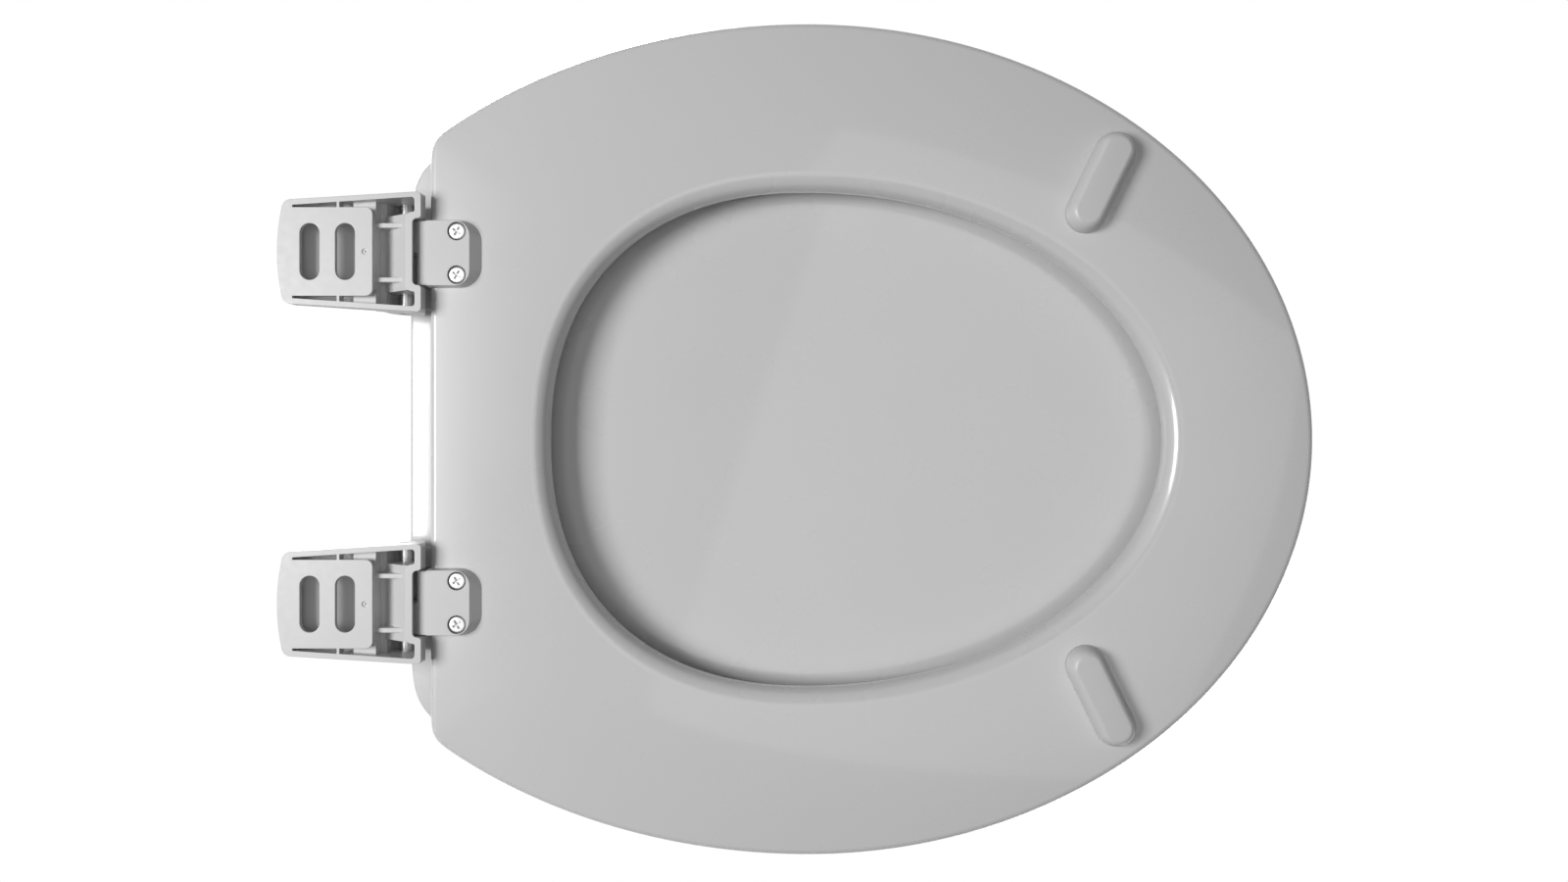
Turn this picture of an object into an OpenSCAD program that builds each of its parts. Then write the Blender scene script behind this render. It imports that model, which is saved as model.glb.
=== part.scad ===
// Toilet seat with lid: an enamelled moulded-wood ring and lid on two plastic bolt-down hinges.
// +Z is up, +X runs to the front of the seat, Y is across it.
// The origin lies on the bowl's rim, midway between the two front fixing slots.

/* [Seat ring] */
// Length of the ring from its straight rear edge to its front
ring_l = 395; // [385:1:410]
// Width of the ring where it is widest
ring_w = 372; // [364:1:384]
// Distance of the widest place from the rear edge
ring_wide_at = 169; // [164:1:176]
// Half length of the rear oval, part of which the straight rear edge cuts off
ring_rear_reach = 243; // [236:1:255]
// Radius of the two rear corners, seen from above
ring_corner_r = 15; // [10:1:22]
// Thickness of the ring
ring_t = 19; // [17:0.5:22]
// Rounding of the outer edge underneath
ring_edge_low = 3; // [2:0.5:4]
// Rounding of the outer edge on top
ring_edge_top = 7; // [5:0.5:8]
// Distance from the fixing slots forward to the ring's rear edge
ring_setback = 34.2; // [33:0.2:37]
// Sideways shift of ring and lid from the middle of the two hinges
seat_shift = 5; // [0:0.5:6]

/* [Opening] */
// Length of the opening
open_l = 277.6; // [268:0.2:284]
// Width of the opening
open_w = 224; // [216:1:230]
// Width of the band behind the opening
band_rear = 52; // [50:0.5:58]
// Bluntness of the opening's rear end, where 2 is an ellipse
open_rear_power = 2.3; // [2:0.1:2.6]
// Rounding of the inner edge underneath
open_edge_low = 8; // [5:0.5:9]
// Rounding of the inner edge on top
open_edge_top = 8.5; // [6:0.5:9]

/* [Lid] */
// Thickness of the lid at its edge
lid_t = 12; // [10:0.5:14]
// Rise of the lid's top from its edge to its middle
lid_crown = 3; // [1:0.5:5]
// How far the lid stands out past the ring at the front and sides
lid_overhang = 2; // [0:0.5:4]
// How far the lid's rear edge stands behind the ring's
lid_back = 16.6; // [14:0.2:17]
// Radius of the lid's rear corners, seen from above
lid_corner_r = 40; // [30:1:50]
// Space between ring and lid
lid_gap = 6; // [5.6:0.1:8]
// Rounding of the lid's lower edge
lid_edge_low = 1.8; // [1:0.2:3]
// Rounding of the lid's upper edge
lid_edge_top = 8; // [6:0.5:8]

/* [Bumpers] */
// Height of the ring's bumpers, which is the height of the ring over the bowl
bumper_h = 9; // [8:0.5:11]
// Length of a ring bumper
bumper_l = 48; // [42:1:54]
// Width of a ring bumper at its base
bumper_w = 18; // [15:0.5:20]
// Width of the flat that rests on the bowl
bumper_flat_w = 9.5; // [8:0.5:11]
// Angle between a ring bumper and the seat's width
bumper_turn = 26; // [15:1:35]
// Distance of the ring bumpers from the ring's rear edge
bumper_at = 299.5; // [280:0.5:310]
// Distance between the two ring bumpers
bumper_spacing = 228.5; // [220:0.5:236]
// Diameter of a lid bumper
lid_bumper_d = 16; // [12:1:20]
// Distance of the lid bumpers from the ring's rear edge
lid_bumper_at = 296; // [270:1:310]
// Distance between the two lid bumpers
lid_bumper_spacing = 222; // [214:1:230]
// Play between a lid bumper and the ring's top
lid_bumper_play = 0.2; // [0.1:0.1:0.5]

/* [Fixing slots] */
// Distance between the fixing holes of the bowl
fixing_spacing = 155; // [140:1:165]
// Distance between the front and the rear slot of a hinge
slot_pitch = 15.6; // [15:0.2:16.4]
// Width of a slot
slot_w = 8.8; // [8:0.2:9.6]
// Length of a slot
slot_l = 25; // [20:1:28]

/* [Hinge base] */
// Distance from the front slot back to the base's rear face
base_rear = 30; // [29:0.5:33]
// Width of the base at its front
base_front_w = 53; // [51:0.5:56]
// Width of the base at its rear corners
base_rear_w = 45.6; // [45:0.2:48]
// How far the rear face bows out behind its corners
base_bow = 2.8; // [1:0.2:3.4]
// Wall of the base
base_wall = 2.4; // [2:0.1:2.8]
// Height of the seam between base and cap
seam_h = 6; // [5:0.5:7]
// Height of the base's top behind the barrel
shoulder_h = 13.2; // [12:0.2:13.6]
// Thickness of the slotted plate
plate_t = 2.5; // [2:0.1:3]
// Width of the slotted plate
plate_w = 39; // [36:0.5:40]
// Distance from the front slot to the plate's front edge
plate_front = 12; // [11.4:0.2:13]
// Play between the ears and the ring's rear edge
ear_play = 0.9; // [0.7:0.1:1.5]
// Width of the notch between the ears
notch_w = 29.4; // [28:0.2:31]
// Depth of the notch between the ears
notch_depth = 3.8; // [3:0.2:5]
// Thickness of the ramp under the knuckles
ramp_t = 1.9; // [1.6:0.1:2.2]
// Thickness of the two webs under the ramp
web_t = 2; // [1.6:0.1:2.4]
// Distance between the two webs
web_spacing = 24; // [20:0.5:26]

/* [Pivot] */
// Distance of the pin's axis from the front slots
pivot_x = 20.5; // [19.5:0.1:21.5]
// Height of the pin's axis over the bowl
pivot_z = 20; // [19.5:0.1:21]
// Diameter of the hinge pin
pin_d = 6; // [5:0.1:6.4]
// Diameter of the pin's head
pin_head_d = 9; // [8:0.5:11]
// Thickness of the pin's head
pin_head_t = 1.2; // [1:0.1:1.4]
// Radial play of the pin in its holes
pin_play = 0.05; // [0.02:0.01:0.09]
// Outer radius of the barrel that the ears form
barrel_r = 8; // [7.5:0.1:8.2]
// Outer radius of the knuckles
knuckle_r = 5.6; // [5:0.1:5.8]
// Play beside each knuckle
knuckle_play = 0.5; // [0.3:0.1:0.8]

/* [Leaves] */
// Width of a leaf
leaf_w = 30; // [28:0.5:32]
// Thickness of the ring's leaves
ring_leaf_t = 4.8; // [4.4:0.1:5.4]
// Distance that a ring leaf reaches under the ring
ring_leaf_reach = 23.4; // [21:0.2:26]
// Run of the sloped front of a ring leaf
ring_leaf_slope = 4.2; // [3:0.2:5]
// Thickness of the lid's leaves
lid_leaf_t = 4.3; // [3.8:0.1:4.5]
// Distance that a lid leaf reaches in from the lid's rear edge
lid_leaf_reach = 32; // [30:0.5:38]

/* [Screws] */
// Distance between the two screws of a leaf
screw_spacing = 19.3; // [17:0.1:20]
// Distance of the ring screws from the ring's rear edge
ring_screw_at = 13.6; // [12:0.2:15]
// Distance of the lid screws from the lid's rear edge
lid_screw_at = 24.5; // [22:0.5:27]
// Diameter of a screw's head
screw_head_d = 7.6; // [7:0.1:8]
// Thickness of a screw's head
screw_head_t = 1.8; // [1.6:0.1:2]
// Diameter of a screw's shank
screw_d = 4; // [3.5:0.1:4.2]
// Length of a ring screw's shank
ring_screw_l = 15; // [12:0.5:17]
// Length of a lid screw's shank
lid_screw_l = 11; // [8:0.5:12]

/* [Cap] */
// Wall of the cap
cap_wall = 1.8; // [1.5:0.1:2]
// Height of the cap's top at its rear
cap_rear_h = 9.4; // [9.2:0.1:10.2]
// Play between the cap and the base
cap_play = 0.15; // [0.1:0.05:0.2]
// Rounding of the cap's top edges
cap_edge = 2.6; // [2:0.1:3]
// Distance between the two lugs that carry the cap
cap_lug_spacing = 26; // [22:0.1:28]
// Outer radius of the cap's hinge knuckle
cap_knuckle_r = 1.6; // [1.5:0.05:1.7]
// Radius of the cap's two trunnions
trunnion_r = 0.8; // [0.7:0.05:0.9]

/* [Hidden] */
$fn = 48;

// Heights of the ring and the lid
ring_z0 = bumper_h;
ring_z1 = ring_z0 + ring_t;
lid_z0 = ring_z1 + lid_gap;
lid_z1 = lid_z0 + lid_t;

// Places along the seat
wide_x = ring_setback + ring_wide_at;
lid_rear_x = ring_setback - lid_back;
base_front = ring_setback - ear_play;
notch_x = base_front - notch_depth;
notch_half = notch_w / 2;
well_front = plate_front - base_wall;

// Small features of the hinges
rim_t = 3;
notch_round = 2;
rim_round = 3;
front_wall = 2.8;
ear_web = 2.2;
shoulder_t = 1.9;
ledge_w = 10;
ledge_h = 1.4;
rib_t = 1.2;
rib_x = -3.1;
plate_corner_r = 3;
rear_corner_r = 4;
rear_block = 4.4;
rear_rim_edge = 2;
ramp_run = 15;
ramp_low = 1.2;
web_z = 3.4;
gate_r = 1.2;
gate_deep = 0.4;
ear_front_h = 6.5;
lug_w = 3;
lug_play = 0.15;
ring_leaf_x = notch_x + 0.6;
leaf_corner_low = 6.6;
leaf_corner_top = 9.5;
leaf_draft = 0.6;
lid_leaf_corner_r = 6;
head_play = 0.3;
head_sink = 0.5;
recess_w = 0.9;
recess_l = 4.2;
recess_deep = 1.1;
point_l = 3;
arc_steps = 5;
far = 60;

// The cap's front, slope and axis
cap_front = well_front - cap_play;
cap_front_h = shoulder_h - 0.3;
cap_slope = (cap_front_h - cap_rear_h) / (cap_front + base_rear);
cap_axis_x = -base_rear + base_wall + cap_knuckle_r + lug_play;
cap_axis = [cap_axis_x, cap_rear_h + cap_slope * (cap_axis_x + base_rear) - cap_knuckle_r];
lug_y = cap_lug_spacing / 2;

// Steps of the sweep round the ring and the lid
coarse_step = 5;
fine_step = 1.2;
fine_span = 9.6;

// Points of an arc about c from angle a0 to a1
function arc(c, r, a0, a1, steps = arc_steps) =
    [for (i = [0 : steps]) c + r * [cos(a0 + (a1 - a0) * i / steps), sin(a0 + (a1 - a0) * i / steps)]];

function unit(v) = v / norm(v);
function xy(p) = [p[0], p[1]];

// A corner p between its neighbours a and b, rounded with radius r
function rounded_corner(a, p, b, r) = r <= 0 ? [p] :
    let (
        u = unit(a - p),
        v = unit(b - p),
        half = acos(u * v) / 2,
        c = p + unit(u + v) * r / sin(half),
        from = p + u * r / tan(half) - c,
        to = p + v * r / tan(half) - c,
        a0 = atan2(from[1], from[0]),
        turn = atan2(to[1], to[0]) - a0,
        sweep = turn > 180 ? turn - 360 : turn < -180 ? turn + 360 : turn
    ) arc(c, r, a0, a0 + sweep);

// An outline from corners given as [x, y, radius]
function rounded(corners) = let (n = len(corners)) [
    for (i = [0 : n - 1])
        each rounded_corner(xy(corners[(i + n - 1) % n]), xy(corners[i]),
                            xy(corners[(i + 1) % n]), corners[i][2])
];

// Where a line from p touches the circle about c, on its left (1) or right (-1) as seen from p
function touch(p, c, r, side) =
    let (
        d = c - p,
        a = atan2(d[1], d[0]) + side * asin(r / norm(d)),
        l = sqrt(d * d - r * r)
    ) p + l * [cos(a), sin(a)];

// An oval about the origin is [front reach, rear reach, half width, rear power, rear edge, corner power]
function oval_radius(t, o) =
    let (
        n = cos(t) < 0 ? o[3] : 2,
        reach = cos(t) < 0 ? o[1] : o[0],
        r = pow(pow(abs(cos(t)) / reach, n) + pow(abs(sin(t)) / o[2], n), -1 / n),
        cut = cos(t) < 0 ? r * -cos(t) / o[4] : 0
    ) r * pow(1 + pow(cut, o[5]), -1 / o[5]);
function oval_point(t, o) = oval_radius(t, o) * [cos(t), sin(t)];
function oval_normal(t, o) =
    let (d = oval_point(t + 0.05, o) - oval_point(t - 0.05, o)) unit([d[1], -d[0]]);

// The place where the rear edge would meet the oval, and the power that rounds this corner with radius r
function corner_y(rear, half, back) = half * sqrt(1 - pow(back / rear, 2));
function corner_power(rear, half, back, r) =
    let (
        y = corner_y(rear, half, back),
        slope = atan(half * half * back / (rear * rear * y)),
        cut = r * (1 / sin(45 + slope / 2) - 1)
    ) -ln(2) / ln(1 - cut / norm([back, y]));
function cut_oval(front, rear, half, back, r) =
    [front, rear, half, 2, back, corner_power(rear, half, back, r)];

ring_oval = cut_oval(ring_l - ring_wide_at, ring_rear_reach, ring_w / 2, ring_wide_at, ring_corner_r);
open_oval = [band_rear + open_l - ring_wide_at, ring_wide_at - band_rear, open_w / 2,
             open_rear_power, 10 * ring_l, 2];
lid_oval = cut_oval(ring_oval[0] + lid_overhang, ring_rear_reach + lid_overhang,
                    ring_w / 2 + lid_overhang, ring_wide_at + lid_back, lid_corner_r);

// Directions of the sweep's stations, closer together at the rear corners
function half_stations(corner) = concat(
    [for (i = [0 : ceil((corner - fine_span) / coarse_step) - 1])
        i * (corner - fine_span) / ceil((corner - fine_span) / coarse_step)],
    [for (t = [corner - fine_span : fine_step : corner + fine_span]) t],
    [for (i = [1 : 4]) corner + fine_span + i * (180 - corner - fine_span) / 4]
);
function stations(o) =
    let (
        half = half_stations(atan2(corner_y(o[1], o[2], o[4]), -o[4])),
        n = len(half)
    ) concat(half, [for (i = [n - 2 : -1 : 1]) -half[i]]);

// Points of a quarter round from angle a0 to a1, as [inset from the edge, height]
function quarter(inset, z, r, a0, a1) = arc([inset, z], r, a0, a1);

// The ring's section: first its outer side going up, then its inner side going down
ring_outer_side = concat(
    quarter(ring_edge_low, ring_z0 + ring_edge_low, ring_edge_low, 270, 180),
    quarter(ring_edge_top, ring_z1 - ring_edge_top, ring_edge_top, 180, 90)
);
ring_inner_side = concat(
    quarter(open_edge_top, ring_z1 - open_edge_top, open_edge_top, 90, 180),
    quarter(open_edge_low, ring_z0 + open_edge_low, open_edge_low, 180, 270)
);

// The lid's section: its side going up, then its top as [share of the outline, height]
lid_side = concat(
    quarter(lid_edge_low, lid_z0 + lid_edge_low, lid_edge_low, 270, 180),
    quarter(lid_edge_top, lid_z1 - lid_edge_top, lid_edge_top, 180, 90)
);
lid_top = [for (s = [0.85, 0.62, 0.32]) [s, lid_z1 + lid_crown * (1 - s * s)]];

function ring_slice(t) = concat(
    [for (q = ring_outer_side) let (p = oval_point(t, ring_oval) - q[0] * oval_normal(t, ring_oval))
        [p[0], p[1], q[1]]],
    [for (q = ring_inner_side) let (p = oval_point(t, open_oval) + q[0] * oval_normal(t, open_oval))
        [p[0], p[1], q[1]]]
);
function lid_slice(t) =
    let (
        base = oval_point(t, lid_oval),
        n = oval_normal(t, lid_oval),
        last = base - lid_edge_top * n
    ) concat(
        [for (q = lid_side) let (p = base - q[0] * n) [p[0], p[1], q[1]]],
        [for (q = lid_top) [last[0] * q[0], last[1] * q[0], q[1]]]
    );

// Two triangles between places j and k of the slices a and b, with m points to a slice
function patch(a, b, j, k, m) = [[a * m + j, b * m + k, b * m + j], [a * m + j, a * m + k, b * m + k]];

module at_seat() {
    translate([wide_x, seat_shift, 0]) children();
}

// Extrudes an outline in X and Z from y0 to y1
module across(y0, y1) {
    translate([0, y1, 0]) rotate([90, 0, 0]) linear_extrude(y1 - y0) children();
}

// A hinge is drawn about its own middle, with +Y to the seat's middle
module at_left() {
    translate([0, -fixing_spacing / 2, 0]) children();
}

module at_right() {
    mirror([0, 1, 0]) at_left() children();
}

module pilot_holes(x, z, l) {
    for (side = [0, 1]) mirror([0, side, 0]) at_left()
        for (y = screw_ys(x == lid_screw_x))
            translate([x, y, z - 1]) cylinder(h = l + 1, r = screw_d / 2);
}

// Middle of a leaf across the hinge: the ring's leaf is in the middle, the lid's goes with its knuckle
lid_leaf_y = notch_w / 4;
function screw_ys(on_lid) = [for (s = [-1, 1]) (on_lid ? lid_leaf_y : 0) + s * screw_spacing / 2];
ring_screw_x = ring_setback + ring_screw_at;
lid_screw_x = lid_rear_x + lid_screw_at;
ring_screw_z = ring_z0 - ring_leaf_t + head_sink;
lid_screw_z = lid_z0 - lid_leaf_t + head_sink / 2;

module seat_ring() {
    turns = stations(ring_oval);
    n = len(turns);
    m = len(ring_outer_side) + len(ring_inner_side);
    color("whitesmoke") difference() {
        at_seat() polyhedron(
            points = [for (t = turns) each ring_slice(t)],
            faces = [for (i = [0 : n - 1], j = [0 : m - 1]) each patch(i, (i + 1) % n, j, (j + 1) % m, m)]
        );
        pilot_holes(ring_screw_x, ring_z0, ring_screw_z + screw_head_t + ring_screw_l - ring_z0);
    }
}

module seat_lid() {
    turns = stations(lid_oval);
    n = len(turns);
    m = len(lid_side) + len(lid_top);
    apex = n * m;
    color("whitesmoke") difference() {
        at_seat() polyhedron(
            points = concat([for (t = turns) each lid_slice(t)], [[0, 0, lid_z1 + lid_crown]]),
            faces = concat(
                [for (i = [0 : n - 1], j = [0 : m - 2]) each patch(i, (i + 1) % n, j, j + 1, m)],
                [for (i = [0 : n - 1]) [i * m + m - 1, apex, ((i + 1) % n) * m + m - 1]],
                [[for (i = [0 : n - 1]) i * m]]
            )
        );
        pilot_holes(lid_screw_x, lid_z0, lid_screw_z + screw_head_t + lid_screw_l - lid_z0);
    }
}

// A long bumper with sloped, rounded sides
module ring_bumper(side) {
    reach = (bumper_l - bumper_w) / 2;
    foot = (bumper_w - bumper_flat_w) / 2;
    color("whitesmoke")
        translate([ring_setback + bumper_at, seat_shift + side * bumper_spacing / 2, 0])
            rotate([0, 0, 90 - side * bumper_turn]) hull()
                for (end = [-1, 1], q = [[0, 0], [0.3, 0.06], [0.62, 0.25], [0.86, 0.55], [1, 1]])
                    translate([end * reach, 0, q[1] * bumper_h - (q[1] == 1 ? 0.01 : 0)])
                        cylinder(h = 0.01, r = bumper_flat_w / 2 + foot * q[0], $fn = 32);
}

// A round bumper under the lid, which lands on the ring's top
module lid_bumper(side) {
    h = lid_gap - lid_bumper_play;
    r = lid_bumper_d / 2;
    edge = h / 3;
    color("whitesmoke")
        translate([ring_setback + lid_bumper_at, seat_shift + side * lid_bumper_spacing / 2, lid_z0 - h])
            rotate_extrude()
                polygon(concat([[0, h], [0, 0]], arc([r - edge, edge], edge, 270, 360), [[r, h]]));
}

// Outline of the base from below, its wall moved in by inset, with the front as given corners
module base_plan(inset, front) {
    rear_half = base_rear_w / 2 - inset;
    side = [for (c = front) [c[0], -c[1], c[2]]];
    corner = [-base_rear + base_bow + inset, rear_half];
    bow = [for (i = [1 : 9]) let (s = 1 - i / 5) [-base_rear + inset + base_bow * s * s, rear_half * s, 0]];
    polygon(rounded(concat(
        [for (i = [len(side) - 1 : -1 : 0]) side[i]],
        front,
        [[corner[0], corner[1], rear_corner_r - inset / 2]],
        bow,
        [[corner[0], -corner[1], rear_corner_r - inset / 2]]
    )));
}

module base_outside() {
    base_plan(0, [
        [notch_x, notch_half, notch_round], [base_front, notch_half, 1.5],
        [base_front, base_front_w / 2, 1.8]
    ]);
}

module base_inside() {
    base_plan(base_wall, [
        [notch_x - rim_t, notch_half + ear_web + 0.6, rim_round],
        [base_front - front_wall, notch_half + ear_web + 0.6, 0.8],
        [base_front - front_wall, base_front_w / 2 - base_wall, 1.4]
    ]);
}

// Side view of an ear: its barrel of radius r about the pin, with its faces moved in by inset
module ear_side(r, inset) {
    c = [pivot_x, pivot_z];
    foot = [base_front - inset, ear_front_h - inset / 2];
    top = touch(foot, c, r, -1);
    a = atan2(top[1] - c[1], top[0] - c[0]);
    polygon(concat(
        [[well_front - 1, -1], [well_front - 1, shoulder_h - inset], [c[0] - r, shoulder_h - inset]],
        arc(c, r, 180, a, 12),
        [foot, [base_front - inset, -1]]
    ));
}

// Side view of the space over the ramp, where the knuckles turn
module pocket_side() {
    x = notch_x - ramp_run;
    polygon([[well_front - 2, shoulder_h], [x, shoulder_h], [notch_x, ramp_low],
             [base_front + 5, ramp_low], [base_front + 5, far], [well_front - 2, far]]);
}

// Side view of the space under the ramp
module under_ramp_side() {
    x = notch_x - ramp_run;
    slope = (shoulder_h - ramp_low) / ramp_run;
    drop = ramp_t * sqrt(1 + slope * slope);
    low_x = notch_x - (drop - ramp_low) / slope;
    top_x = x - (drop - shoulder_t) / slope;
    polygon([[plate_front, -1], [plate_front, shoulder_h - shoulder_t], [top_x, shoulder_h - shoulder_t],
             [low_x, 0], [low_x, -1]]);
}

module slots() {
    for (x = [0, -slot_pitch]) translate([x, 0, -1]) {
        for (s = [-1, 1]) translate([0, s * (slot_l - slot_w) / 2, 0])
            cylinder(h = plate_t + 2, r = slot_w / 2);
        translate([-slot_w / 2, -(slot_l - slot_w) / 2, 0]) cube([slot_w, slot_l - slot_w, plate_t + 2]);
    }
}

// The front of the base: two hollow ears, the ramp between them and the wall behind
module base_front_block() {
    y = notch_half + ear_web;
    wall_half = plate_w / 2 - plate_corner_r;
    difference() {
        intersection() {
            linear_extrude(far) base_outside();
            across(-far / 2, far / 2) ear_side(barrel_r, 0);
            translate([well_front, -far / 2, 0]) cube(far);
        }
        across(-notch_half, notch_half) pocket_side();
        intersection() {
            translate([0, 0, -1]) linear_extrude(far) base_inside();
            union() {
                across(-y, y) under_ramp_side();
                for (s = [0, 1]) mirror([0, s, 0]) intersection() {
                    across(y, far / 2) ear_side(barrel_r - shoulder_t, shoulder_t);
                    translate([plate_front, 0, -1]) cube(far);
                }
                // Beside the plate the wall behind stops over the ledges
                for (s = [0, 1]) mirror([0, s, 0])
                    translate([0, wall_half, -1]) cube([plate_front + 1, far, seam_h - ledge_h + 1]);
            }
        }
    }
}

// The rear of the base: a low wall round the well of the fixing bolts
module base_rear_wall() {
    difference() {
        intersection() {
            linear_extrude(seam_h) base_outside();
            translate([-far, -far / 2, 0]) cube([far + plate_front, far, far]);
        }
        translate([0, 0, -1]) linear_extrude(far) base_inside();
    }
}

module base_plate() {
    half = plate_w / 2;
    intersection() {
        union() {
            linear_extrude(plate_t) polygon(rounded([
                [-far / 2, -half, 0], [plate_front, -half, plate_corner_r],
                [plate_front, half, plate_corner_r], [-far / 2, half, 0]
            ]));
            translate([-far / 2, -far / 2, 0])
                cube([far / 2 - base_rear + base_wall + rear_block, far, plate_t]);
            // One rib and one ledge on each side tie the plate to the wall
            for (s = [-1, 1]) {
                translate([rib_x - rib_t / 2, s > 0 ? half - 1 : -far / 2, 0])
                    cube([rib_t, far / 2 - half + 1, seam_h - 1]);
                translate([well_front - ledge_w + base_wall, s > 0 ? half - 1 : -far / 2, seam_h - ledge_h])
                    cube([ledge_w, far / 2 - half + 1, ledge_h]);
            }
        }
        linear_extrude(far) base_outside();
    }
}

// Two webs from the wall behind to the ramp
module ramp_webs() {
    x = notch_x - ramp_run;
    for (s = [-1, 1]) translate([0, s * web_spacing / 2, 0])
        across(-web_t / 2, web_t / 2)
            polygon([[plate_front - 1, web_z], [plate_front - 1, shoulder_h - shoulder_t / 2],
                     [x, shoulder_h - shoulder_t], [notch_x - rim_t, web_z]]);
}

// A fixed rim at the rear, which the cap's knuckle lies behind
module rear_rim() {
    x = cap_axis[0] - cap_knuckle_r - lug_play;
    intersection() {
        linear_extrude(far) base_outside();
        across(-lug_y - lug_w - 1, lug_y + lug_w + 1) polygon(rounded([
            [-base_rear - 1, seam_h / 2, 0], [-base_rear, seam_h / 2, 0],
            [-base_rear, cap_rear_h, rear_rim_edge], [x, cap_rear_h, 0.3], [x, seam_h / 2, 0]
        ]));
    }
}

// Two lugs that carry the cap's trunnions
module cap_lugs() {
    for (s = [0, 1]) mirror([0, s, 0]) difference() {
        across(lug_y, lug_y + lug_w) union() {
            circle_at(cap_axis, cap_knuckle_r);
            polygon([[cap_axis[0] - cap_knuckle_r - 1, plate_t / 2], [cap_axis[0] + cap_knuckle_r, plate_t / 2],
                     cap_axis + [cap_knuckle_r, 0], cap_axis + [-cap_knuckle_r, 0],
                     cap_axis + [-cap_knuckle_r - 1, -1]]);
        }
        across(lug_y - 1, lug_y + lug_w + 1) circle_at(cap_axis, trunnion_r + pin_play);
    }
}

module hinge_base() {
    color("gainsboro") difference() {
        union() {
            base_front_block();
            base_rear_wall();
            base_plate();
            ramp_webs();
            rear_rim();
            cap_lugs();
        }
        across(-far / 2, far / 2) circle_at([pivot_x, pivot_z], pin_d / 2 + pin_play);
        // Seat of the pin's head in the outer ear
        across(-far / 2, pin_head_y + pin_head_t)
            circle_at([pivot_x, pivot_z], pin_head_d / 2 + head_play);
        slots();
        // Mark of the moulding gate
        translate([plate_front - 3.4, 0, -1]) difference() {
            cylinder(h = 1 + gate_deep, r = gate_r);
            cylinder(h = far, r = gate_r / 3);
        }
    }
}

// Half width of the base at a place along it
function base_half(x) =
    let (x0 = -base_rear + base_bow)
    base_rear_w / 2 + (base_front_w - base_rear_w) / 2 * (x - x0) / (base_front - x0);

// The pin's head lies just inside the outer face of the outer ear
pin_head_y = -base_half(pivot_x) + 0.3;

module hinge_pin() {
    chamfer = 0.6;
    end_y = base_half(pivot_x) - 0.5;
    color("silver") translate([pivot_x, pin_head_y, pivot_z]) rotate([-90, 0, 0]) rotate_extrude()
        polygon([[0, 0], [pin_head_d / 2 - chamfer, 0], [pin_head_d / 2, chamfer],
                 [pin_head_d / 2, pin_head_t], [pin_d / 2, pin_head_t],
                 [pin_d / 2, end_y - pin_head_y - chamfer],
                 [pin_d / 2 - chamfer, end_y - pin_head_y], [0, end_y - pin_head_y]]);
}

// Side view of an arm: a knuckle about the pin and a web to two points, in turning order about it
module arm_side(low, high) {
    c = [pivot_x, pivot_z];
    p = touch(low, c, knuckle_r, 1);
    q = touch(high, c, knuckle_r, -1);
    circle_at(c, knuckle_r);
    polygon([low, p, c, q, high]);
}

module circle_at(c, r) {
    translate(c) circle(r = r);
}

module screw_holes(x, z, on_lid, thick) {
    for (y = screw_ys(on_lid)) translate([x, y, z]) {
        translate([0, 0, -head_sink - 1]) cylinder(h = screw_head_t + head_sink + 1,
                                                   r = screw_head_d / 2 + head_play);
        cylinder(h = thick + 1, r = screw_d / 2 + 0.1);
    }
}

// The ring's leaf: a flange under the ring and a knuckle on the hinge's outer half
module ring_leaf() {
    z0 = ring_z0 - ring_leaf_t;
    front = ring_setback + ring_leaf_reach;
    half = leaf_w / 2;
    narrow = notch_half - knuckle_play;
    step_x = base_front + 1;
    color("gainsboro") difference() {
        union() {
            hull() {
                for (s = [-1, 1]) {
                    translate([front - ring_leaf_slope - leaf_corner_low,
                               s * (half - leaf_draft - leaf_corner_low), z0])
                        cylinder(h = 0.01, r = leaf_corner_low, $fn = 32);
                    translate([front - leaf_corner_top, s * (half - leaf_corner_top), ring_z0 - 0.01])
                        cylinder(h = 0.01, r = leaf_corner_top, $fn = 32);
                }
                translate([step_x, -half + leaf_draft, z0])
                    cube([1, leaf_w - 2 * leaf_draft, 0.01]);
                translate([step_x, -half, ring_z0 - 0.01]) cube([1, leaf_w, 0.01]);
            }
            across(-narrow, narrow)
                polygon(rounded([[ring_leaf_x, z0, 1.2], [step_x + 1, z0, 0], [step_x + 1, ring_z0, 0],
                                 [ring_leaf_x, ring_z0, 0]]));
            across(-narrow, -knuckle_play / 2)
                arm_side([ring_leaf_x + 0.4, z0 + 0.8], [base_front, ring_z0]);
        }
        across(-far, far) circle_at([pivot_x, pivot_z], pin_d / 2 + pin_play);
        screw_holes(ring_screw_x, ring_screw_z, false, ring_leaf_t);
    }
}

// The lid's leaf: a flange under the lid and a knuckle on the hinge's inner half
module lid_leaf() {
    z0 = lid_z0 - lid_leaf_t;
    rear = lid_rear_x + 0.3;
    front = lid_rear_x + lid_leaf_reach;
    y0 = lid_leaf_y - leaf_w / 2;
    y1 = lid_leaf_y + leaf_w / 2;
    color("gainsboro") difference() {
        union() {
            translate([0, 0, z0]) linear_extrude(lid_leaf_t) polygon(rounded([
                [rear, y0, 2], [front, y0, lid_leaf_corner_r], [front, y1, lid_leaf_corner_r], [rear, y1, 2]
            ]));
            across(knuckle_play / 2, notch_half - knuckle_play)
                lid_arm_side(rear, z0);
        }
        across(-far, far) circle_at([pivot_x, pivot_z], pin_d / 2 + pin_play);
        screw_holes(lid_screw_x, lid_screw_z, true, lid_leaf_t);
    }
}

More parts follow.
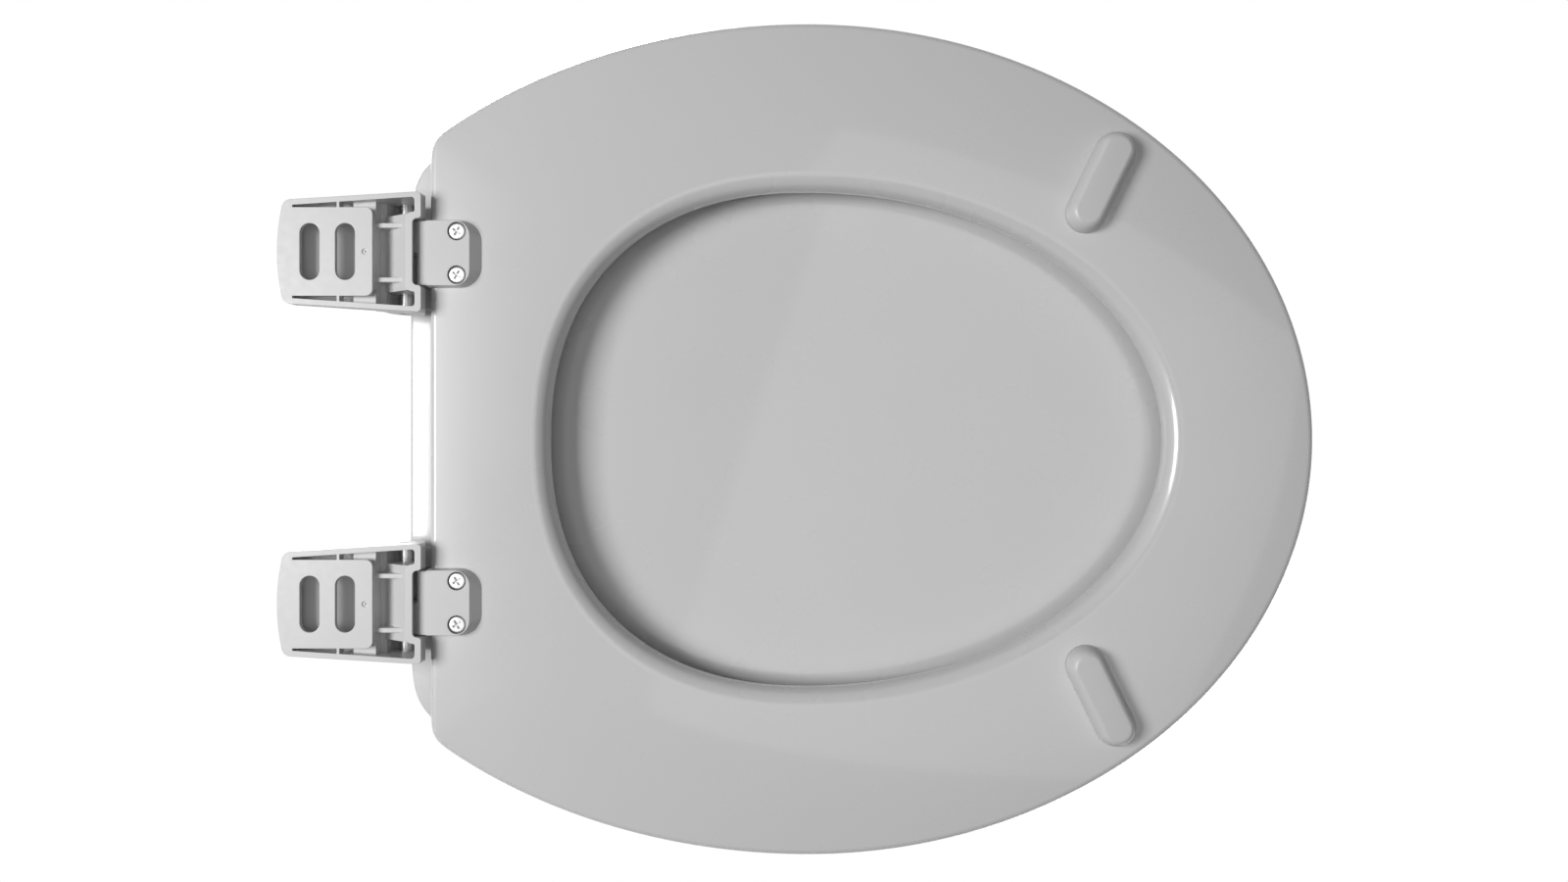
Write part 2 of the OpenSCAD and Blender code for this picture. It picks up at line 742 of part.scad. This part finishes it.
module lid_arm_side(rear, z0) {
    c = [pivot_x, pivot_z];
    back = [rear + 0.3, z0 + 1];
    fore = [rear + 2 * knuckle_r, z0 + 1];
    circle_at(c, knuckle_r);
    polygon([fore, touch(fore, c, knuckle_r, 1), c, touch(back, c, knuckle_r, -1), back]);
}

// A cross-head screw whose head starts at z = 0 and whose shank points up
module screw(l) {
    color("silver") difference() {
        rotate_extrude() polygon(concat(
            [[0, -0.3]],
            arc([screw_head_d / 2 - 0.9, 0.6], 0.9, 270, 360),
            [[screw_head_d / 2, screw_head_t], [screw_d / 2, screw_head_t],
             [screw_d / 2, screw_head_t + l - point_l], [0, screw_head_t + l]]
        ));
        for (a = [0, 90]) rotate([0, 0, a + 30])
            translate([-recess_l / 2, -recess_w / 2, -1]) cube([recess_l, recess_w, recess_deep + 1]);
    }
}

module ring_screw(i) {
    translate([ring_screw_x, screw_ys(false)[i], ring_screw_z]) screw(ring_screw_l);
}

module lid_screw(i) {
    translate([lid_screw_x, screw_ys(true)[i], lid_screw_z]) screw(lid_screw_l);
}

// Side view of the cap's outside, its faces moved in by inset
module cap_side(inset) {
    polygon(rounded([
        [-base_rear + inset, seam_h - 20, 0], [-base_rear + inset, cap_rear_h - inset, 0],
        [cap_front - inset, cap_front_h - inset, 0.5], [cap_front - inset, seam_h - 20, 0]
    ]));
}

// A half space whose side face leans with the cap's plan and whose upper edge is rounded
module cap_flank(inset) {
    lean = atan2(base_front_w - base_rear_w, 2 * (base_front + base_rear - base_bow));
    z = cap_rear_h + cap_slope * base_bow - inset;
    translate([-base_rear + base_bow, base_rear_w / 2 - inset, z]) rotate([0, -atan(cap_slope), 0])
        rotate([0, 0, lean]) rotate([90, 0, 90]) translate([0, 0, -20]) linear_extrude(far + 20)
            polygon(rounded([[-far, 0, 0], [0, 0, cap_edge], [0, -far / 2, 0], [-far, -far / 2, 0]]));
}

module cap_form(inset, z) {
    intersection() {
        translate([0, 0, z]) linear_extrude(far)
            base_plan(inset, [[cap_front - inset, base_half(cap_front) - inset, 0]]);
        across(-far / 2, far / 2) cap_side(inset);
        cap_flank(inset);
        mirror([0, 1, 0]) cap_flank(inset);
    }
}

// The cover of the well, which swings up on two trunnions at the rear
module hinge_cap() {
    z = seam_h + cap_play;
    notch_r = cap_knuckle_r + lug_play;
    color("gainsboro") union() {
        difference() {
            union() {
                intersection() {
                    difference() {
                        cap_form(0, z);
                        cap_form(cap_wall, z - 1);
                    }
                    translate([cap_axis[0], -far / 2, 0]) cube(far);
                }
                intersection() {
                    across(-far / 2, far / 2) circle_at(cap_axis, cap_knuckle_r);
                    linear_extrude(far) base_outside();
                }
            }
            for (s = [0, 1]) mirror([0, s, 0])
                translate([cap_axis[0] - notch_r, lug_y - lug_play, 0])
                    cube([2 * notch_r, lug_w + 2 * lug_play, far]);
        }
        across(-lug_y - lug_w, lug_y + lug_w) circle_at(cap_axis, trunnion_r);
    }
}

seat_ring();
seat_lid();
ring_bumper(-1);  // ring_bumper_left
ring_bumper(1);  // ring_bumper_right
lid_bumper(-1);  // lid_bumper_left
lid_bumper(1);  // lid_bumper_right
at_left() hinge_base();  // hinge_base_left
at_right() hinge_base();  // hinge_base_right
at_left() hinge_cap();  // hinge_cap_left
at_right() hinge_cap();  // hinge_cap_right
at_left() hinge_pin();  // hinge_pin_left
at_right() hinge_pin();  // hinge_pin_right
at_left() ring_leaf();  // ring_leaf_left
at_right() ring_leaf();  // ring_leaf_right
at_left() lid_leaf();  // lid_leaf_left
at_right() lid_leaf();  // lid_leaf_right
at_left() ring_screw(1);  // ring_screw_left_inner
at_left() ring_screw(0);  // ring_screw_left_outer
at_right() ring_screw(1);  // ring_screw_right_inner
at_right() ring_screw(0);  // ring_screw_right_outer
at_left() lid_screw(1);  // lid_screw_left_inner
at_left() lid_screw(0);  // lid_screw_left_outer
at_right() lid_screw(1);  // lid_screw_right_inner
at_right() lid_screw(0);  // lid_screw_right_outer
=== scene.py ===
"""Toilet seat with lid: enamelled ring and lid, plastic hinges and bumpers, steel screws and pins."""

import math

import bpy
import numpy as np
from mathutils import Matrix, Vector


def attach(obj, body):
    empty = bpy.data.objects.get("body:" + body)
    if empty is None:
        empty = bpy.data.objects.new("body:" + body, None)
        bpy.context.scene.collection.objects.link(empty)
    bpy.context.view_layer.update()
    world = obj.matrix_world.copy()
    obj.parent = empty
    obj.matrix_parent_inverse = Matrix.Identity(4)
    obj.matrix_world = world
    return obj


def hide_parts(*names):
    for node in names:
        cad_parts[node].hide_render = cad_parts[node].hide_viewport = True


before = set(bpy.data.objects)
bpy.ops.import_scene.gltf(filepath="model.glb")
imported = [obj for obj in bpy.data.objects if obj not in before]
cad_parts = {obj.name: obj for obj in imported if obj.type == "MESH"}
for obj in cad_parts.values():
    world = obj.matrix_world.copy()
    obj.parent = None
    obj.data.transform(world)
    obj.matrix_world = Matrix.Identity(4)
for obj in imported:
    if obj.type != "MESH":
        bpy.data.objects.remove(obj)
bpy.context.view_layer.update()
MM = 0.001

# Ovals in mm about the ring's widest place, cut straight at "back" where it is set, with corners of radius r
SETBACK = 34.2
SHIFT = 5.0
WIDE_X = SETBACK + 169.0
RING = dict(front=226.0, rear=243.0, half=186.0, power=2.0, back=169.0, r=15.0)
LID = dict(front=228.0, rear=245.0, half=188.0, power=2.0, back=185.6, r=40.0)
OPENING = dict(front=160.6, rear=117.0, half=112.0, power=2.3, back=None, r=0.0)

# Heights in mm over the bowl's rim
RING_UNDER = 9
RING_TOP = 28
LID_UNDER = 34
LID_EDGE_TOP = 46
LID_CROWN = 3

# Radii in mm of the rounded edges
RING_ROUND_UNDER = 3
RING_ROUND_TOP = 7
OPENING_ROUND_TOP = 8.5
OPENING_ROUND_UNDER = 8
LID_ROUND_UNDER = 1.8
LID_ROUND_TOP = 8

# Ring bumpers in mm, with their turn in degrees
BUMPER_AT = 299.5
BUMPER_SPACING = 228.5
BUMPER_TURN = 26
BUMPER_REACH = 15.0
BUMPER_FOOT_HALF = 4.75
BUMPER_BASE_HALF = 9.0

# Camera: pixels of the 1600 x 900 image at a distance of one, and how far its frame is shifted
IMAGE_WIDTH_PX = 1600
FOCAL_PX = 1335.3
FRAME_SHIFT_PX = 50
SENSOR = 36
CAMERA_PLACE = (0.2144, 0.0058, -0.575)


def oval(t, o):
    """Points of an oval at the angles t, with a straight rear edge where it has one."""
    c, s = np.cos(t), np.sin(t)
    power = np.where(c < 0, o["power"], 2.0)
    reach = np.where(c < 0, o["rear"], o["front"])
    r = (np.abs(c / reach) ** power + np.abs(s / o["half"]) ** power) ** (-1 / power)
    if o["back"]:
        y = o["half"] * math.sqrt(1 - (o["back"] / o["rear"]) ** 2)
        slope = math.atan(o["half"] ** 2 * o["back"] / (o["rear"] ** 2 * y))
        cut = o["r"] * (1 / math.sin(math.pi / 4 + slope / 2) - 1)
        p = -math.log(2) / math.log(1 - cut / math.hypot(o["back"], y))
        share = np.where(c < 0, r * -c / o["back"], 0)
        r = r * (1 + share**p) ** (-1 / p)
    return np.stack([r * c, r * s], 1)


def outline(t, o):
    """Points of an oval and its outward normals."""
    d = oval(t + 1e-3, o) - oval(t - 1e-3, o)
    n = np.stack([d[:, 1], -d[:, 0]], 1)
    return oval(t, o), n / np.linalg.norm(n, axis=1, keepdims=True)


def stations(count, o):
    """Angles spread evenly along the outline."""
    fine = np.linspace(-math.pi, math.pi, 8001)
    steps = np.linalg.norm(np.diff(oval(fine, o), axis=0), axis=1)
    s = np.concatenate([[0], np.cumsum(steps)])
    return np.interp(np.linspace(0, s[-1], count + 1)[:-1], s, fine)


def quarter(r, z, a0, a1, steps=10):
    """A rounded edge of radius r as rows of inset and height, about a centre at height z."""
    a = np.radians(np.linspace(a0, a1, steps + 1))
    return np.stack([r + r * np.cos(a), z + r * np.sin(a)], 1)


def place(xy, z):
    """Outline points in metres, at one height."""
    return (WIDE_X + xy[:, 0]) * MM, (SHIFT + xy[:, 1]) * MM, np.full(len(xy), z) * MM


def wall(points, normals, profile):
    """The outline once for each row of the profile."""
    return [place(points - inset * normals, z) for inset, z in profile]


def sweep(columns, closed_section):
    """Vertices, slice after slice round the outline, and the quads between them."""
    slices = np.transpose(np.array(columns), (2, 0, 1))
    n, m = len(slices), len(slices[0])
    faces = []
    for i in range(n):
        a, b = i * m, (i + 1) % n * m
        for j in range(m if closed_section else m - 1):
            k = (j + 1) % m
            faces.append((a + j, a + k, b + k, b + j))
    return [v for s in slices for v in s], faces


def new_object(name, verts, faces, body, finish):
    mesh = bpy.data.meshes.new(name)
    mesh.from_pydata([tuple(v) for v in verts], [], [tuple(f) for f in faces])
    mesh.validate()
    mesh.update()
    mesh.polygons.foreach_set("use_smooth", [True] * len(mesh.polygons))
    mesh.materials.append(finish)
    o = bpy.data.objects.new(name, mesh)
    bpy.context.scene.collection.objects.link(o)
    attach(o, body)
    return o


def grey(v):
    return (v, v, v)


def material(name, colour, roughness, metallic=0.0, coat=0.0, coat_roughness=0.05):
    m = bpy.data.materials.new(name)
    m.use_nodes = True
    b = m.node_tree.nodes["Principled BSDF"]
    b.inputs["Base Color"].default_value = (*colour, 1)
    b.inputs["Roughness"].default_value = roughness
    b.inputs["Metallic"].default_value = metallic
    b.inputs["Coat Weight"].default_value = coat
    b.inputs["Coat Roughness"].default_value = coat_roughness
    return m, m.node_tree, b


def noise(tree, scale, detail=2.0, stretch=(1, 1, 1)):
    coords = tree.nodes.new("ShaderNodeTexCoord")
    mapping = tree.nodes.new("ShaderNodeMapping")
    mapping.inputs["Scale"].default_value = stretch
    tex = tree.nodes.new("ShaderNodeTexNoise")
    tex.inputs["Scale"].default_value = scale
    tex.inputs["Detail"].default_value = detail
    tree.links.new(coords.outputs["Object"], mapping.inputs["Vector"])
    tree.links.new(mapping.outputs["Vector"], tex.inputs["Vector"])
    return tex.outputs["Fac"]


def bump(tree, shader, height, strength, distance, normal=None):
    b = tree.nodes.new("ShaderNodeBump")
    b.inputs["Strength"].default_value = strength
    b.inputs["Distance"].default_value = distance
    tree.links.new(height, b.inputs["Height"])
    if normal is not None:
        tree.links.new(normal, b.inputs["Normal"])
    tree.links.new(b.outputs["Normal"], shader.inputs["Normal"])


def vary_roughness(tree, shader, fac, low, high):
    r = tree.nodes.new("ShaderNodeMapRange")
    r.inputs["From Min"].default_value = 0.3
    r.inputs["From Max"].default_value = 0.7
    r.inputs["To Min"].default_value = low
    r.inputs["To Max"].default_value = high
    tree.links.new(fac, r.inputs["Value"])
    tree.links.new(r.outputs["Result"], shader.inputs["Roughness"])


def tint(tree, shader, fac, a, b):
    """Base colour between a and b."""
    mix = tree.nodes.new("ShaderNodeMix")
    mix.data_type = "RGBA"
    mix.inputs["A"].default_value = (*a, 1)
    mix.inputs["B"].default_value = (*b, 1)
    tree.links.new(fac, mix.inputs["Factor"])
    tree.links.new(mix.outputs["Result"], shader.inputs["Base Color"])


def white_enamel():
    m, tree, shader = material("white_enamel", grey(0.60), 0.28, coat=0.6, coat_roughness=0.06)
    tint(tree, shader, noise(tree, 9, 3), grey(0.592), grey(0.608))
    vary_roughness(tree, shader, noise(tree, 25, 3), 0.25, 0.31)
    bump(tree, shader, noise(tree, 320, 2), 0.03, 0.0004)
    return m


def hinge_plastic():
    """Moulded plastic, with its sharp edges softened."""
    m, tree, shader = material("hinge_plastic", grey(0.62), 0.34)
    tint(tree, shader, noise(tree, 60, 2), grey(0.61), grey(0.63))
    vary_roughness(tree, shader, noise(tree, 300, 3), 0.30, 0.40)
    edge = tree.nodes.new("ShaderNodeBevel")
    edge.samples = 8
    edge.inputs["Radius"].default_value = 0.0004
    bump(tree, shader, noise(tree, 1800, 3), 0.05, 0.0001, edge.outputs["Normal"])
    return m


def bumper_plastic():
    m, tree, shader = material("bumper_plastic", grey(0.62), 0.33)
    vary_roughness(tree, shader, noise(tree, 300, 3), 0.30, 0.38)
    bump(tree, shader, noise(tree, 700, 3), 0.05, 0.0002)
    return m


def screw_steel():
    """Steel with fine scratches along one direction."""
    m, tree, shader = material("screw_steel", grey(0.42), 0.3, metallic=1.0)
    tint(tree, shader, noise(tree, 900, 3), grey(0.36), grey(0.48))
    vary_roughness(tree, shader, noise(tree, 500, 2, (1, 12, 1)), 0.24, 0.42)
    bump(tree, shader, noise(tree, 1400, 2, (1, 10, 1)), 0.1, 0.0001)
    return m


def make_ring(finish):
    t = stations(560, RING)
    outer_side = np.concatenate([quarter(RING_ROUND_UNDER, RING_UNDER + RING_ROUND_UNDER, 270, 180),
                                 quarter(RING_ROUND_TOP, RING_TOP - RING_ROUND_TOP, 180, 90)])
    inner_side = np.concatenate([quarter(OPENING_ROUND_TOP, RING_TOP - OPENING_ROUND_TOP, 90, 180),
                                 quarter(OPENING_ROUND_UNDER, RING_UNDER + OPENING_ROUND_UNDER, 180, 270)])
    # The opening's side is drawn with insets that point into the ring
    columns = wall(*outline(t, RING), outer_side)
    points, normals = outline(t, OPENING)
    columns += wall(points, -normals, inner_side)
    verts, faces = sweep(columns, True)
    ring = new_object("ring_enamel", verts, faces, "ring", finish)
    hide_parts("seat_ring")


def make_lid(finish):
    """The lid: a rounded edge, a crowned top and a flat underside, closed by a fan at each middle."""
    count = 480
    points, normals = outline(stations(count, LID), LID)
    side = np.concatenate([quarter(LID_ROUND_UNDER, LID_UNDER + LID_ROUND_UNDER, 270, 180, 6),
                           quarter(LID_ROUND_TOP, LID_EDGE_TOP - LID_ROUND_TOP, 180, 90)])
    columns = wall(points, normals, side)
    rim = points - LID_ROUND_TOP * normals
    for s in (0.96, 0.9, 0.8, 0.65, 0.5, 0.35, 0.2, 0.08):
        columns.append(place(rim * s, LID_EDGE_TOP + LID_CROWN * (1 - s * s)))
    verts, faces = sweep(columns, False)
    m = len(columns)
    top = len(verts)
    verts.append((WIDE_X * MM, SHIFT * MM, (LID_EDGE_TOP + LID_CROWN) * MM))
    faces += [(i * m + m - 1, top, (i + 1) % count * m + m - 1) for i in range(count)]
    # The flat underside is built of rings too, so that its normals stay even
    under = len(verts)
    for s in (0.9, 0.6, 0.3):
        verts += list(zip(*place((points - LID_ROUND_UNDER * normals) * s, LID_UNDER)))
    bottom = len(verts)
    verts.append((WIDE_X * MM, SHIFT * MM, LID_UNDER * MM))
    for i in range(count):
        k = (i + 1) % count
        faces.append((i * m, k * m, under + k, under + i))
        for a in (under, under + count):
            faces.append((a + i, a + k, a + count + k, a + count + i))
        faces.append((under + 2 * count + i, under + 2 * count + k, bottom))
    lid = new_object("lid_enamel", verts, faces, "lid", finish)
    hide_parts("seat_lid")


def make_bumper(name, node, side, finish):
    """A long bumper: a flat foot with a rounded slope up to its wider base."""
    centre = Vector((SETBACK + BUMPER_AT, SHIFT + side * BUMPER_SPACING / 2, 0))
    turn = Matrix.Rotation(math.radians(90 - side * BUMPER_TURN), 3, "Z")
    loop = []
    for end, a0 in ((1, -90), (-1, 90)):
        for a in np.radians(np.linspace(a0, a0 + 180, 25)):
            loop.append((end * BUMPER_REACH, math.cos(a), math.sin(a)))
    levels = 15
    verts = []
    for a in np.linspace(0, math.pi / 2, levels):
        r = BUMPER_FOOT_HALF + (BUMPER_BASE_HALF - BUMPER_FOOT_HALF) * math.sin(a) ** 1.15
        z = RING_UNDER * max(0, 1 - math.cos(a)) ** 1.1
        for x, ux, uy in loop:
            q = turn @ Vector((x + r * ux, r * uy, 0)) + centre
            verts.append((q.x * MM, q.y * MM, z * MM))
    m = len(loop)
    faces = []
    for j in range(levels - 1):
        for i in range(m):
            k = (i + 1) % m
            faces.append((j * m + i, (j + 1) * m + i, (j + 1) * m + k, j * m + k))
    faces.append(tuple(range(m)))
    faces.append(tuple(reversed(range((levels - 1) * m, levels * m))))
    o = new_object(name, verts, faces, "ring", finish)
    o.data.polygons[len(faces) - 1].use_smooth = False
    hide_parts(node)


def make_world():
    """White to the camera and in reflections, and a weak even light on the object."""
    world = bpy.data.worlds.new("studio")
    bpy.context.scene.world = world
    world.use_nodes = True
    tree = world.node_tree
    background = tree.nodes["Background"]
    background.inputs["Color"].default_value = (1, 1, 1, 1)
    path = tree.nodes.new("ShaderNodeLightPath")
    seen = path.outputs["Is Camera Ray"]
    for kind in ("Is Glossy Ray", "Is Transmission Ray"):
        either = tree.nodes.new("ShaderNodeMath")
        either.operation = "MAXIMUM"
        tree.links.new(seen, either.inputs[0])
        tree.links.new(path.outputs[kind], either.inputs[1])
        seen = either.outputs[0]
    strength = tree.nodes.new("ShaderNodeMapRange")
    strength.inputs["To Min"].default_value = 0.05
    strength.inputs["To Max"].default_value = 1.0
    tree.links.new(seen, strength.inputs["Value"])
    tree.links.new(strength.outputs["Result"], background.inputs["Strength"])


def make_floor():
    """A pale floor just under the feet, which is clear from below, where the camera is."""
    half, z = 3.0, -0.0002
    mesh = bpy.data.meshes.new("floor")
    mesh.from_pydata([(-half, -half, z), (half, -half, z), (half, half, z), (-half, half, z)], [], [(0, 1, 2, 3)])
    floor = bpy.data.objects.new("floor", mesh)
    bpy.context.scene.collection.objects.link(floor)
    paint, tree, shader = material("pale_floor", grey(0.86), 0.7)
    geometry = tree.nodes.new("ShaderNodeNewGeometry")
    clear = tree.nodes.new("ShaderNodeBsdfTransparent")
    mix = tree.nodes.new("ShaderNodeMixShader")
    tree.links.new(geometry.outputs["Backfacing"], mix.inputs["Fac"])
    tree.links.new(shader.outputs["BSDF"], mix.inputs[1])
    tree.links.new(clear.outputs["BSDF"], mix.inputs[2])
    tree.links.new(mix.outputs["Shader"], tree.nodes["Material Output"].inputs["Surface"])
    mesh.materials.append(paint)
    floor.visible_diffuse = False
    floor.visible_glossy = False
    floor.visible_transmission = False
    floor.visible_shadow = False


def lamp(name, offset, size, power):
    """A square lamp that stands off the object's middle and faces it."""
    middle = Vector((0.2, 0.005, 0.02))
    data = bpy.data.lights.new(name, "AREA")
    data.shape = "SQUARE"
    data.size = size
    data.energy = power
    o = bpy.data.objects.new(name, data)
    o.location = middle + Vector(offset)
    o.rotation_euler = (-Vector(offset)).to_track_quat("-Z", "Y").to_euler()
    bpy.context.scene.collection.objects.link(o)


def make_camera():
    """Straight below, looking up."""
    data = bpy.data.cameras.new("camera")
    data.sensor_width = SENSOR
    data.lens = SENSOR * FOCAL_PX / IMAGE_WIDTH_PX
    data.shift_x = -FRAME_SHIFT_PX / IMAGE_WIDTH_PX
    data.clip_start = 0.01
    camera = bpy.data.objects.new("camera", data)
    camera.location = CAMERA_PLACE
    camera.rotation_euler = (math.pi, 0, 0)
    bpy.context.scene.collection.objects.link(camera)
    bpy.context.scene.camera = camera


enamel = white_enamel()
plastic = hinge_plastic()
bumper_finish = bumper_plastic()
steel = screw_steel()

make_ring(enamel)
make_lid(enamel)
make_bumper("long_bumper_left", "ring_bumper_left", -1, bumper_finish)
make_bumper("long_bumper_right", "ring_bumper_right", 1, bumper_finish)

# The solids that keep their shape get their finish
for name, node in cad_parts.items():
    if "screw" in name or "pin" in name:
        finish = steel
    elif "bumper" in name:
        finish = bumper_finish
    elif name.startswith("seat_"):
        finish = enamel
    else:
        finish = plastic
    node.data.materials.clear()
    node.data.materials.append(finish)

make_world()
make_floor()
lamp("key_below", (-0.95, -0.04, -1.15), 0.6, 17)
lamp("fill_below", (0.3, 0.1, -1.5), 0.9, 3)
lamp("key_above", (-0.7, -0.9, 1.3), 0.9, 22)
lamp("fill_above", (0.9, 0.8, 1.1), 1.2, 10)
make_camera()
bpy.context.scene.view_settings.view_transform = "Standard"
